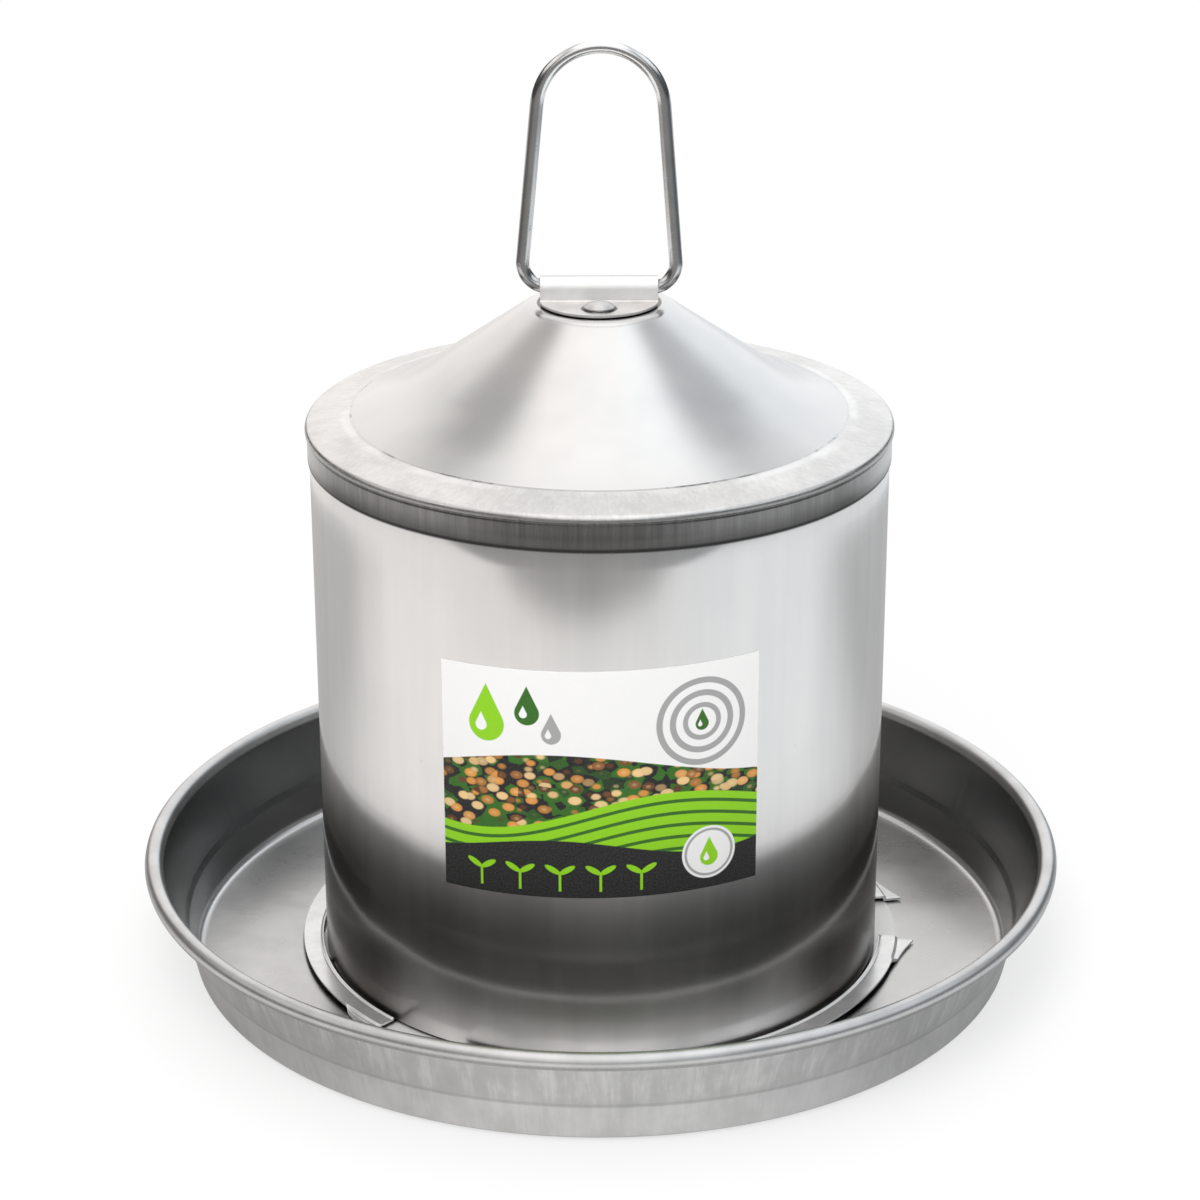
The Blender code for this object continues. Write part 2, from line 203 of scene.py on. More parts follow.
def stripFinish(name, level, rough, metal=1.0):
    finish, steel, place = startFinish(name)
    cloud, scratch = stripMarks(place)
    tone = cloud.rise(0.3, 0.7).blend(grey(level - 0.05), grey(level + 0.05, 0.01))
    plug(steel, Base_Color=tone, Metallic=metal, Roughness=rough + cloud * 0.08 + scratch * 0.05,
         Normal=(scratch + cloud).relief(0.006 * mm))
    return finish


# Paths in a plane, each a list of points
def arcPath(centre, radius, start, end, step=math.radians(7)):
    count = max(2, round(abs(end - start) / step))
    angles = [start + (end - start) * i / count for i in range(count + 1)]
    return [Vector((centre[0] + radius * math.cos(a), centre[1] + radius * math.sin(a))) for a in angles]


def bentPath(corners):  # through (across, up, bend radius) corners
    spots = [Vector(corner[:2]) for corner in corners]
    path = [spots[0]]
    for before, here, after, corner in zip(spots, spots[1:], spots[2:], corners[1:]):
        into, out = (here - before).normalized(), (after - here).normalized()
        turn = into.angle_signed(out)
        if corner[2] == 0 or abs(turn) < tiny:
            path.append(here)
            continue
        side = Vector((-into.y, into.x)) * (-1 if turn > 0 else 1)
        centre = here - into * corner[2] * math.tan(abs(turn) / 2) + side * corner[2]
        start = math.atan2(-side.y, -side.x)
        path += arcPath(centre, corner[2], start, start - turn)
    return path + [spots[-1]]


def besidePath(path, gap):  # the path moved to its left by gap
    moved = []
    for i, here in enumerate(path):
        into = (here - path[i - 1]).normalized() if i else (path[1] - here).normalized()
        out = (path[i + 1] - here).normalized() if i + 1 < len(path) else into
        along = (into + out).normalized()
        moved.append(here + Vector((-along.y, along.x)) * gap / along.dot(out))
    return moved


def roundEdge(first, second, onward, rounds=6):  # half round from one face of a sheet's cut edge to the other
    middle, spoke = (first + second) / 2, (first - second) / 2
    reach = onward.normalized() * spoke.length
    angles = [math.pi * i / rounds for i in range(1, rounds)]
    return [middle + spoke * math.cos(a) + reach * math.sin(a) for a in angles]


def densePath(path, step):  # straight runs cut into steps
    filled = [path[0]]
    for here, there in zip(path, path[1:]):
        count = max(1, math.ceil((there - here).length / step))
        filled += [here.lerp(there, i / count) for i in range(1, count + 1)]
    return filled


def mirrored(path):  # the path's other half, walked backwards
    return [Vector((-p.x, p.y)) for p in reversed(path)]


# Mesh makers
def spinShape(outline, steps, loop=False, insideFrom=None):  # turns (radius, height) points about Z
    shape = bmesh.new()
    turns = [(math.cos(math.tau * i / steps), math.sin(math.tau * i / steps)) for i in range(steps)]
    rings = []
    for radius, height in outline:
        if radius < tiny:
            rings.append([shape.verts.new((0, 0, height))] * steps)
        else:
            rings.append([shape.verts.new((radius * c, radius * s, height)) for c, s in turns])
    pairs = list(zip(rings, rings[1:]))
    if loop:
        pairs.append((rings[-1], rings[0]))
    for number, (near, far) in enumerate(pairs):
        for i in range(steps):
            face = shape.faces.new(dict.fromkeys((near[i - 1], near[i], far[i], far[i - 1])))
            face.material_index = int(insideFrom is not None and number >= insideFrom)
    bmesh.ops.recalc_face_normals(shape, faces=shape.faces)
    return shape


def loftShape(sections):  # joins like outlines, each a closed list of places, and closes both ends
    shape = bmesh.new()
    loops = [[shape.verts.new(spot) for spot in section] for section in sections]
    for near, far in zip(loops, loops[1:]):
        for i in range(len(near)):
            shape.faces.new((near[i - 1], near[i], far[i], far[i - 1]))
    shape.faces.new(loops[0])
    shape.faces.new(loops[-1])
    bmesh.ops.recalc_face_normals(shape, faces=shape.faces)
    return shape


def toMesh(name, shape):
    mesh = bpy.data.meshes.new(name)
    shape.to_mesh(mesh)
    shape.free()
    return mesh


def addObject(name, data):
    made = bpy.data.objects.new(name, data)
    scene.collection.objects.link(made)
    return made


def shadeRound(mesh, sharp=40):  # smooth, apart from edges over sharp degrees
    mesh.shade_smooth()
    mesh.set_sharp_from_angle(angle=math.radians(sharp))


def addPiece(name, shape, body, nodes, finishes, sharp=40):
    mesh = toMesh(name, shape)
    for finish in finishes:
        mesh.materials.append(finish)
    shadeRound(mesh, sharp)
    piece = addObject(name, mesh)
    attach(piece, body)
    if nodes:
        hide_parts(*nodes)
    return piece


def settle(piece):  # the piece's modifiers become its mesh
    bpy.context.view_layer.update()
    mesh = bpy.data.meshes.new_from_object(piece.evaluated_get(bpy.context.evaluated_depsgraph_get()))
    piece.modifiers.clear()
    piece.data = mesh
    return mesh


def easeEdges(piece, width, angle=30, rounds=2):
    bevel = piece.modifiers.new("eased edges", "BEVEL")
    bevel.width = width
    bevel.segments = rounds
    bevel.limit_method = "ANGLE"
    bevel.angle_limit = math.radians(angle)
    shadeRound(settle(piece))
    flat = piece.modifiers.new("flat faces", "WEIGHTED_NORMAL")   # they shade flat beside the rounded edges
    flat.keep_sharp = True
    settle(piece)


def drill(piece, radius, depth, place, turn=Matrix.Identity(4), sides=32):
    shape = bmesh.new()
    bmesh.ops.create_cone(shape, cap_ends=True, segments=sides, radius1=radius, radius2=radius, depth=depth)
    bit = addObject("drill", toMesh("drill", shape))
    bit.matrix_world = Matrix.Translation(place) @ turn
    hole = piece.modifiers.new("hole", "BOOLEAN")
    hole.object = bit
    hole.solver = "EXACT"
    shadeRound(settle(piece))
    bpy.data.objects.remove(bit, do_unlink=True)


def dressNodes(names, finish):  # solids that stay as they are take a finish
    for name in names:
        materials = frame["nodes"][name].data.materials
        materials.clear()
        materials.append(finish)


# Trough: pressed dish with a joggle in its wall and a rolled bead
dish = dict(sheet=0.6 * mm, bead=2.1 * mm, beadSweep=275, beadStep=11, base=102.2 * mm, baseBend=2.6 * mm,
            joggleR=104.3 * mm, joggleZ=9.4 * mm, joggleOut=0.9 * mm, joggleRise=1.7 * mm,
            joggleBend=1.2 * mm, run=8 * mm, steps=240, outsideRough=0.3, insideRough=0.22,
            tones=dict(outside=(grey(0.46), grey(0.66)), bendLine=grey(0.3), footLine=grey(0.06),
                       speck=grey(0.32), floor=(grey(0.36, 0.01), grey(0.49, 0.012)),
                       pale=grey(0.75, 0.012), scraped=grey(0.8, 0.01), shadow=grey(0.02),
                       wall=(grey(0.31), grey(0.37)), frontWall=grey(0.15), rearWall=grey(0.25),
                       lowWall=grey(0.17), bend=(grey(0.34), grey(0.72)), bead=(grey(0.56), grey(0.66))))


# The outer side: draw marks run up the wall
def troughOuterFinish():
    finish, steel, place = startFinish("trough_outer_sheet")
    across, ahead, z, radius = roundPlace(place)
    tones, base = dish["tones"], dish["base"]
    kink, kinkTop = dish["joggleZ"], dish["joggleZ"] + dish["joggleRise"]
    marks = streaks(across, ahead, z, 75, 70, 4.0, 0.65)
    patches = streaks(across, ahead, z, 26, 70, 3.0, 0.6)
    drawn = marks.rise(0.25, 0.75) * patches.rise(0.36, 0.6)
    drawn = drawn * (0.5 + z.rise(kinkTop, kinkTop + 2.5 * mm) * 0.5)
    cloud = place.noise(70.0, 5.0, 0.68)
    # painted light: the band below the joggle is a little paler
    lower = z.fall(kink, kinkTop)
    tone = (cloud * 0.7 + drawn * 0.35 + lower * 0.2).rise(0.2, 0.8).blend(*tones["outside"])
    # painted shade: a dark line along the joggle bend
    bendLine = z.near(kink + dish["joggleRise"] * 0.6, 0.25 * mm, 0.9 * mm)
    tone = (bendLine * 0.35).blend(tone, tones["bendLine"])
    # painted shadow: a dark line along the foot of the wall, where it meets the floor
    footLine = z.fall(0.4 * mm, 1.1 * mm) * radius.rise(base - 3.5 * mm, base - 2 * mm)
    tone = (footLine * 0.85).blend(tone, tones["footLine"])
    speck = place.cells(330.0).fall(0.04, 0.12) * place.noise(60.0).rise(0.56, 0.64)
    tone = (speck * 0.4).blend(tone, tones["speck"])
    swell = place.noise(22.0).relief(0.5 * mm)
    plug(steel, Base_Color=tone, Metallic=1.0, Roughness=dish["outsideRough"] + cloud * 0.1 + drawn * 0.08,
         Normal=(drawn * 0.8 + cloud * 0.6).relief(0.02 * mm, swell))
    return finish


# The inner side: floor with water-spot mottling, smoother wall, polished bead
def troughInnerFinish(beadZ):
    finish, steel, place = startFinish("trough_inner_sheet")
    across, ahead, z, radius = roundPlace(place)
    tones, kink = dish["tones"], dish["joggleZ"]
    onFloor = z.fall(1.2 * mm, 3.2 * mm)
    onBead = z.rise(beadZ - 0.8 * mm, beadZ)
    mottle = place.noise(75.0, 5.0, 0.65)
    stainAndShade = place.noise(28.0, 3.0, 0.6).rise(0.45, 0.7)
    marks = streaks(across, ahead, z, 160, 30, 3.0, 0.6)

    floor = (mottle * 0.7 + stainAndShade * 0.3).rise(0.25, 0.7).blend(*tones["floor"])
    # painted light: the floor is paler towards the front, the back and the sides
    litFront = ahead.fall(-0.96, -0.82) * 0.65
    litBack = ahead.rise(0.0, 0.35) * (0.38 - across * 0.04)
    litSides = across.size().rise(0.5, 0.8) * (0.4 + across * 0.04) * ahead.fall(0.05, 0.3)
    floor = litFront.highest(litBack).highest(litSides).blend(floor, tones["pale"])
    keeperR = tankHigh.x + keeper["fromTank"] + keeper["wide"]
    half = math.radians(keeper["gapSpan"] / 2)
    bare = 0                                                      # 1 in the gaps between the keepers
    for gap in keeper["gaps"]:
        toGap = across * math.cos(math.radians(gap)) + ahead * math.sin(math.radians(gap))
        bare = bare + toGap.rise(math.cos(half + 0.02), math.cos(half))
    litGapPatch = bare * radius.fall(keeperR - 0.6 * mm, keeperR + 0.2 * mm) * onFloor
    floor = (litGapPatch * 0.9).blend(floor, tones["scraped"])         # painted light: pale, matte floor beside the tank in the gaps
    ring = radius.band(keeperR - 1.2 * mm, keeperR - 0.8 * mm, keeperR + 0.15 * mm, keeperR + 0.6 * mm)
    ring = ring * (1 - bare) * (0.65 + across.rise(-0.6, 0.2) * 0.2)
    floor = ring.blend(floor, tones["shadow"])                    # under the keepers' outer edges

    front = ahead.fall(-0.8, -0.4)
    wall = marks.rise(0.2, 0.8).blend(*tones["wall"])
    # painted shade: the wall is darker low at the front, towards the back, and below the ledge
    wall = (front * z.fall(14 * mm, 20 * mm) * 0.3).blend(wall, tones["frontWall"])
    wall = (ahead.rise(0.15, 0.6) * 0.6).blend(wall, tones["rearWall"])
    belowLedge = z.fall(kink + 0.6 * mm, kink + 4.5 * mm)
    wall = (belowLedge * (0.6 - front * 0.5)).blend(wall, tones["lowWall"])

    onBend = z.band(0.7 * mm, 0.9 * mm, 2.0 * mm, 2.8 * mm)
    # painted highlight: the floor's bend is paler towards the back and darker at the front
    bend = ahead.rise(-0.6, 0.2).blend(*tones["bend"])
    bead = mottle.rise(0.3, 0.7).blend(*tones["bead"])
    tone = onBead.blend(onBend.blend(onFloor.blend(wall, floor), bend), bead)
    rough = dish["insideRough"] + marks * 0.05 + onFloor * (mottle * 0.1 - 0.01)
    rough = rough + onBend * 0.02 + onBead * 0.14 + litGapPatch * 0.2
    height = marks * 0.3 * (1 - onBead) + mottle * onFloor
    swell = place.noise(20.0).relief(0.3 * mm)
    plug(steel, Base_Color=tone, Metallic=1 - litGapPatch * 0.75, Roughness=rough,
         Normal=height.relief(0.012 * mm, swell))
    return finish


def makeTrough():
    curlR = dish["bead"] - dish["sheet"]
    curl = Vector((dishHigh.x - dish["bead"], dishHigh.z - dish["bead"]))
    knee = Vector((dish["joggleR"] + dish["joggleOut"], dish["joggleZ"] + dish["joggleRise"]))
    reach = curl - knee
    start = math.atan2(reach.y, reach.x) + math.asin(curlR / reach.length) + math.pi / 2
    end = start - math.radians(dish["beadSweep"])
    bead = arcPath(curl, curlR, start, end, math.radians(dish["beadStep"]))
    path = bentPath([(0, 0, 0), (dish["base"], 0, dish["baseBend"]),
                     (dish["joggleR"], dish["joggleZ"], dish["joggleBend"]), (*knee, dish["joggleBend"]),
                     (*bead[0], 0)])
    path = densePath(path, dish["run"]) + bead[1:]
    inner = besidePath(path, dish["sheet"])
    edge = roundEdge(path[-1], inner[-1], path[-1] - path[-2])
    shape = spinShape(path + edge + inner[::-1], dish["steps"], insideFrom=len(path))
    addPiece("pressed_trough", shape, "trough", ["trough_dish"],
             [troughOuterFinish(), troughInnerFinish(curl.y)], sharp=50)
    print("trough pressed")


# Keepers: raised arc strips whose ends are bent down to the floor as ears
keeper = dict(sheet=0.6 * mm, wide=4.9 * mm, fromTank=0.9 * mm, gaps=(2.5, 118.0, 233.5), gapSpan=17.0,
              earSpan=10.0, earReach=4.0 * mm, earToe=0.9 * mm, earBend=1.6, under=1.8 * mm, sole=0.9 * mm,
              lip=0.22 * mm, lipFlat=0.25 * mm, lipDip=0.8 * mm, lipEnd=1.3 * mm, ease=0.16 * mm, step=0.8,
              tone=0.72, rough=0.17, metal=0.72)


def keeperSection(reach, drop):  # drop goes from 0, the raised band, to 1, an ear on the floor
    inner = tankHigh.x + keeper["fromTank"]
    outer = inner + keeper["wide"]
    sheet, low, lip = keeper["sheet"], keeper["under"], keeper["lip"]
    crown = low + sheet
    fall = (low - keeper["sole"]) * drop
    bend = outer - sheet
    far = bend + (sheet + reach) * drop + sheet * (1 - drop)
    top = [(inner, crown + lip), (inner + keeper["lipFlat"], crown + lip),
           (inner + keeper["lipDip"], crown - lip / 2), (inner + keeper["lipEnd"], crown), (bend, crown),
           (outer - sheet / 4 * (1 - drop), crown - fall / 2)]
    toe = [(outer, crown - fall), (far, crown - fall), (far, low - fall)]
    back = [(bend, low - fall), (bend - sheet / 4, low - fall / 2), (bend - sheet / 2, low), (inner, low)]
    return top + toe + back


def makeKeepers():
    finish = stripFinish("keeper_strip", keeper["tone"], keeper["rough"], keeper["metal"])
    gaps = keeper["gaps"]
    for number, (before, after) in enumerate(zip(gaps, [*gaps[1:], gaps[0] + 360]), 1):
        start, end = before + keeper["gapSpan"] / 2, after - keeper["gapSpan"] / 2
        count = math.ceil((end - start) / keeper["step"])
        sections = []
        for i in range(count + 1):
            angle = start + (end - start) * i / count
            inside = min(angle - start, end - angle)
            drop = min(1, max(0, (keeper["earSpan"] - inside) / keeper["earBend"]))
            share = max(0, 1 - inside / keeper["earSpan"])
            reach = keeper["earToe"] + (keeper["earReach"] - keeper["earToe"]) * share * share
            turn = Matrix.Rotation(math.radians(angle), 3, "Z")
            sections.append([turn @ Vector((r, 0, z)) for r, z in keeperSection(reach, drop)])
        piece = addPiece(f"keeper_strip_{number}", loftShape(sections), "trough",
                         [f"keeper_{number}"], [finish])
        easeEdges(piece, keeper["ease"])
    print("keepers laid")


# Tank: rolled sheet with its outlet hole, and the weld that closes it at the back
tank = dict(sheet=0.5 * mm, outletR=2.5 * mm, outletLift=10.5 * mm, run=12 * mm, steps=240,
            weldAt=68.0, weldWide=0.9 * mm, weldHigh=0.22 * mm, weldBed=0.1 * mm, weldFrom=3 * mm,
            weldTo=0.5 * mm, weldSteps=90, weldSides=6, lugTone=0.3, lugRough=0.3, gloss=0.075,
            hazeRough=0.4, haze=0.34, swell=0.6 * mm, grain=0.0015 * mm, waterLine=(8 * mm, 22 * mm),
            waterTop=(32 * mm, 58 * mm), stainTop=(16 * mm, 30 * mm), foot=(5 * mm, 20 * mm),
            tones=dict(clean=(grey(0.74, 0.008), grey(0.81, 0.016)), dull=grey(0.11, 0.08),
                       underSkirt=grey(0.04), pit=grey(0.3)))


# Bright cold-rolled sheet: faint clouds, rolling grain round the wall, and painted shade low down and at the
# low sides, in place of the dark trough's reflection
def tankFinish():
    finish, steel, place = startFinish("tank_bright_sheet")
    across, ahead, z = roundPlace(place)[:3]
    tones = tank["tones"]
    grain = streaks(across, ahead, z, 6, 1500, 3.0, 0.6)
    smear = streaks(across, ahead, z, 9, 14)
    swell = streaks(across, ahead, z, 2.2, 9, 1.0)
    cloud = place.noise(26.0, 3.0, 0.55)
    tone = (cloud * 0.5 + smear * 0.5).rise(0.3, 0.7).blend(*tones["clean"])
    # painted shade: darker low down and at the low sides, in place of the dark trough's reflection
    dull = z.rise(*tank["waterLine"]) * 0.34 + across.size().rise(0.7, 0.92) * 0.52
    dull = dull * z.fall(*tank["waterTop"])
    stainAndShade = across.size().rise(0.5, 0.8) * z.fall(*tank["stainTop"])
    tone = dull.highest(stainAndShade).blend(tone, tones["dull"])
    # painted shadow: a dark band on the wall just under the skirt's edge
    underSkirt = z.rise(lidLow.z - 0.8 * mm, lidLow.z - 0.3 * mm)
    tone = (underSkirt * 0.9).blend(tone, tones["underSkirt"])
    pits = place.cells(210.0).fall(0.03, 0.09) * place.noise(31.0).rise(0.58, 0.66)
    tone = (pits * 0.35).blend(tone, tones["pit"])
    normal = grain.relief(tank["grain"], swell.relief(tank["swell"]))
    plug(steel, Base_Color=tone, Metallic=1.0, Roughness=tank["gloss"] + cloud * 0.04 + grain * 0.025,
         Normal=normal)
    haze = place.node("BsdfPrincipled", None, {"Base Color": tone, "Metallic": 1.0,
                                               "Roughness": tank["hazeRough"], "Normal": normal})
    layShaders(finish, (tank["haze"] + smear * 0.12 + z.fall(*tank["foot"]) * 0.34, haze))
    return finish


def makeTank():
    finish = tankFinish()
    path = densePath([Vector((tankHigh.x, tankHigh.z)), Vector((tankHigh.x, tankLow.z))], tank["run"])
    inner = besidePath(path, -tank["sheet"])
    foot = roundEdge(path[-1], inner[-1], Vector((0, -1)))
    brim = roundEdge(inner[0], path[0], Vector((0, 1)))
    shape = spinShape(path + foot + inner[::-1] + brim, tank["steps"], loop=True)
    wall = addPiece("rolled_tank", shape, "tank", ["tank_wall"], [finish])
    drill(wall, tank["outletR"], tankHigh.x, (0, tankHigh.x, tankLow.z + tank["outletLift"]),
          Matrix.Rotation(math.pi / 2, 4, "X"))

    turn = Matrix.Rotation(math.radians(tank["weldAt"]), 3, "Z")
    low, high = tankLow.z + tank["weldFrom"], lidLow.z - tank["weldTo"]
    bed = tankHigh.x - tank["weldBed"]
    angles = [math.pi * k / tank["weldSides"] for k in range(tank["weldSides"] + 1)]
    sections = []
    for i in range(tank["weldSteps"] + 1):
        z = low + (high - low) * i / tank["weldSteps"]
        wide = tank["weldWide"] * (1 + 0.12 * math.sin(i * 1.9))   # an uneven bead
        proud = tank["weldHigh"] * (1 + 0.15 * math.sin(i * 2.7 + 1)) + tank["weldBed"]
        bow = [(bed + proud * math.sin(a), wide * math.cos(a)) for a in angles]
        sections.append([turn @ Vector((r, s, z)) for r, s in bow])
    addPiece("tank_seam_weld", loftShape(sections), "tank", [], [finish])
    dressNodes([f"lock_lug_{number}" for number in (1, 2, 3)],
               stripFinish("lug_strip", tank["lugTone"], tank["lugRough"]))
    print("tank rolled")


# Lid: skirt, sloping rim, flared cone and flat top drawn from one sheet
lid = dict(sheet=0.3 * mm, cornerBend=1.2 * mm, skirt=8.25 * mm, rim=11.1 * mm, rimPitch=11.6, flare=9.3 * mm,
           flarePitch=18.7, flareBend=50 * mm, flat=16.8 * mm, flatBend=6 * mm, creaseBend=0.5 * mm,
           creaseStep=0.12 * mm, creaseRun=0.25 * mm, creaseRound=0.3 * mm, lip=1.4 * mm, lipRound=0.12 * mm,
           inset=0.45 * mm, groove=0.1 * mm, grooveAt=1.9 * mm, grooveEnd=2.4 * mm, grooveRound=0.15 * mm,
           run=4 * mm, steps=240, skirtFrom=0.4 * mm, rough=0.17,
           tones=dict(cone=(grey(0.60), grey(0.66, 0.01)), rim=(grey(0.62, 0.012), grey(0.80, 0.012)),
                      worn=grey(0.92), skirt=(grey(0.22, 0.02), grey(0.33, 0.02)), lowSkirt=grey(0.05, 0.02),
                      skirtSides=grey(0.58, 0.01), brink=grey(0.02), grime=grey(0.05)))


# Satin cone, scuffed rim, and a streaked skirt whose dark tone is painted shade, deepening to a painted
# shadow at its bottom edge, with painted light at its sides
def lidFinish(crease, skirtTop):
    finish, steel, place = startFinish("lid_drawn_sheet")
    across, ahead, z, radius = roundPlace(place)
    tones = lid["tones"]
    cloud = place.noise(30.0, 3.0, 0.6)
    rings = place.packed(radius * 900, z * 900, across * 2).noise(1.0, 2.0)
    drawn = streaks(across, ahead, z, 120, 40, 3.0, 0.65)
    onSkirt = z.fall(skirtTop - 1.2 * mm, skirtTop) * radius.rise(lidHigh.x - 2.0 * mm, lidHigh.x - 1.5 * mm)
    onRim = radius.rise(crease - 0.4 * mm, crease + 0.6 * mm) * (1 - onSkirt)
    cone = cloud.rise(0.3, 0.7).blend(*tones["cone"])

    scuff = place.noise(140.0, 5.0, 0.7).rise(0.42, 0.62)
    rub = streaks(across, ahead, radius, 70, 500, 4.0, 0.6).rise(0.42, 0.62)
    blotch = place.noise(75.0, 4.0, 0.6).rise(0.38, 0.62)
    rim = (scuff * 0.25 + rub * 0.3 + blotch * 0.45).blend(*tones["rim"])
    ragged = place.noise(190.0, 4.0, 0.7) * 2.4 * mm
    worn = (radius + ragged).near(crease + 2.6 * mm, 0.3 * mm, 1.8 * mm)
    rim = (worn * place.noise(38.0, 4.0, 0.7).rise(0.36, 0.6) * 0.45).blend(rim, tones["worn"])

    streak = streaks(across, ahead, z, 38, 30, 3.0, 0.6).rise(0.35, 0.65)
    # painted shade: the skirt's dark tone, deepening towards the bottom
    skirt = (drawn.rise(0.2, 0.8) * 0.5 + streak * 0.5).blend(*tones["skirt"])
    skirt = (z.fall(lidLow.z, skirtTop - 2 * mm) * 0.8).blend(skirt, tones["lowSkirt"])
    # painted light: the skirt is paler towards the left and right
    sides = across.rise(0.8, 0.97) * 0.8 + (across * -1).rise(0.86, 0.98) * 0.5
    skirt = sides.blend(skirt, tones["skirtSides"])
    # painted shadow along the skirt's bottom edge
    brink = z.fall(lidLow.z + 0.2 * mm, lidLow.z + 0.8 * mm)
    skirt = (brink * 0.8).blend(skirt, tones["brink"])

    tone = onSkirt.blend(onRim.blend(cone, rim), skirt)
    creaseShadeDepth = ahead.fall(-0.98, -0.6) * 0.3 + 0.05 + place.noise(110.0, 4.0, 0.7).rise(0.5, 0.64) * 0.45
    grime = radius.near(crease + 0.1 * mm, 0.12 * mm, 0.36 * mm) * creaseShadeDepth   # painted shade in the crease, patchy and deeper at the front
    # painted shadow: a dark ring on the flat top round the strap's feet
    footR = bracket["foot"]
    footLine = radius.band(footR - 0.7 * mm, footR - 0.4 * mm, footR + 0.35 * mm, footR + 0.7 * mm)
    tone = grime.highest(footLine * 0.9).blend(tone, tones["grime"])
    rough = lid["rough"] + cloud * 0.07 + onRim * (0.14 + scuff * 0.1) + onSkirt * (0.03 + drawn * 0.07)
    height = rings * 0.15 + onRim * (scuff * 0.4 + rub * 0.4) + onSkirt * drawn * 0.6
    swell = place.noise(16.0, 1.0).relief(0.4 * mm)
    plug(steel, Base_Color=tone, Metallic=1.0, Roughness=rough, Normal=height.relief(0.012 * mm, swell))
    return finish


def makeLid():
    rimZ = lidLow.z + lid["skirt"]
    creaseR = lidHigh.x - lid["rim"]
    creaseZ = rimZ + lid["rim"] * math.tan(math.radians(lid["rimPitch"]))
    flareR = creaseR - lid["flare"]
    flareZ = creaseZ + lid["flare"] * math.tan(math.radians(lid["flarePitch"]))
    skirtR = lidHigh.x - lid["inset"]
    path = bentPath([(0, lidHigh.z, 0), (lid["flat"], lidHigh.z, lid["flatBend"]),
                     (flareR, flareZ, lid["flareBend"]), (creaseR, creaseZ, lid["creaseBend"]),
                     (creaseR + lid["creaseRun"], creaseZ - lid["creaseStep"], lid["creaseRound"]),
                     (lidHigh.x, rimZ, lid["cornerBend"]), (lidHigh.x, rimZ - lid["lip"], lid["lipRound"]),
                     (skirtR - lid["groove"], rimZ - lid["grooveAt"], lid["lipRound"]),
                     (skirtR, rimZ - lid["grooveEnd"], lid["grooveRound"]), (skirtR, lidLow.z, 0)])
    path = densePath(path, lid["run"])
    inner = besidePath(path, -lid["sheet"])
    edge = roundEdge(path[-1], inner[-1], Vector((0, -1)))
    shape = spinShape(path + edge + inner[::-1], lid["steps"])
    cap = addPiece("drawn_lid", shape, "tank", ["top_cone"],
                   [lidFinish(creaseR, rimZ - lid["skirtFrom"])])
    for low, high in rivetBoxes.values():
        drill(cap, rivet["holeR"], rivet["drill"], (low + high) / 2)
    print("lid drawn")


# Bracket: strap over the wire with a half-round foot on each side, and its two rivets
bracket = dict(sheet=0.6 * mm, bore=2.2 * mm, half=13.9 * mm, foot=14.2 * mm, bend=0.9 * mm, lift=0.3 * mm,
               barrelStep=9, toeFrom=86, toeSteps=26, columns=28, ease=0.14 * mm, easeOver=60, rough=0.26,
               metal=0.55, tones=dict(feet=(grey(0.62, 0.02), grey(0.76, 0.03)), ridge=grey(0.3),
                                      barrel=(grey(0.84), grey(0.91, 0.01)), grime=grey(0.06)))
rivet = dict(shank=1.6 * mm, holeR=1.9 * mm, drill=20 * mm, headR=3.6 * mm, headH=1.5 * mm,
             headRound=0.12 * mm, shoulder=0.35 * mm, domeStep=4, tailR=2.7 * mm, tailH=1.4 * mm,
             tailRound=0.3 * mm, sides=48, tone=0.6, rough=0.28)


# Bright strap: feet toned darker and the barrel paler as painted shade and light, a painted dark reflection
# line on the barrel's crest, and painted shadow beside the rivet heads
def strapFinish():
    finish, steel, place = startFinish("bracket_strap")
    x, y, z = place.axes()
    cloud, scratch = stripMarks(place)
    tones = bracket["tones"]
    # painted shade and light: the feet are toned darker and the barrel paler, on one strap
    feet = cloud.rise(0.3, 0.7).blend(*tones["feet"])
    barrel = cloud.rise(0.3, 0.7).blend(*tones["barrel"])
    footTop = lidHigh.z + bracket["lift"] + bracket["sheet"]
    onBarrel = z.rise(footTop + 0.2 * mm, footTop + 0.9 * mm)
    tone = onBarrel.blend(feet, barrel)
    # painted reflection: a dark line along the barrel's crest
    ridge = y.near(0.15 * mm, 0.25 * mm, 0.6 * mm)
    tone = (ridge * onBarrel * 0.75).blend(tone, tones["ridge"])
    for low, high in rivetBoxes.values():
        behind = y - (low.y + high.y) / 2
        away = (x * x + behind * behind) ** 0.5
        # painted shadow beside the rivet heads, on their left and right
        ring = away.near(rivet["headR"] + 0.2 * mm, 0.2 * mm, 0.7 * mm)
        tone = (ring * x.size().rise(0.8 * mm, 2.2 * mm) * 0.9).blend(tone, tones["grime"])
    rough = bracket["rough"] + cloud * 0.1 + scratch * 0.05 + onBarrel * 0.14
    plug(steel, Base_Color=tone, Metallic=bracket["metal"], Roughness=rough,
         Normal=(scratch + cloud).relief(0.006 * mm))
    return finish


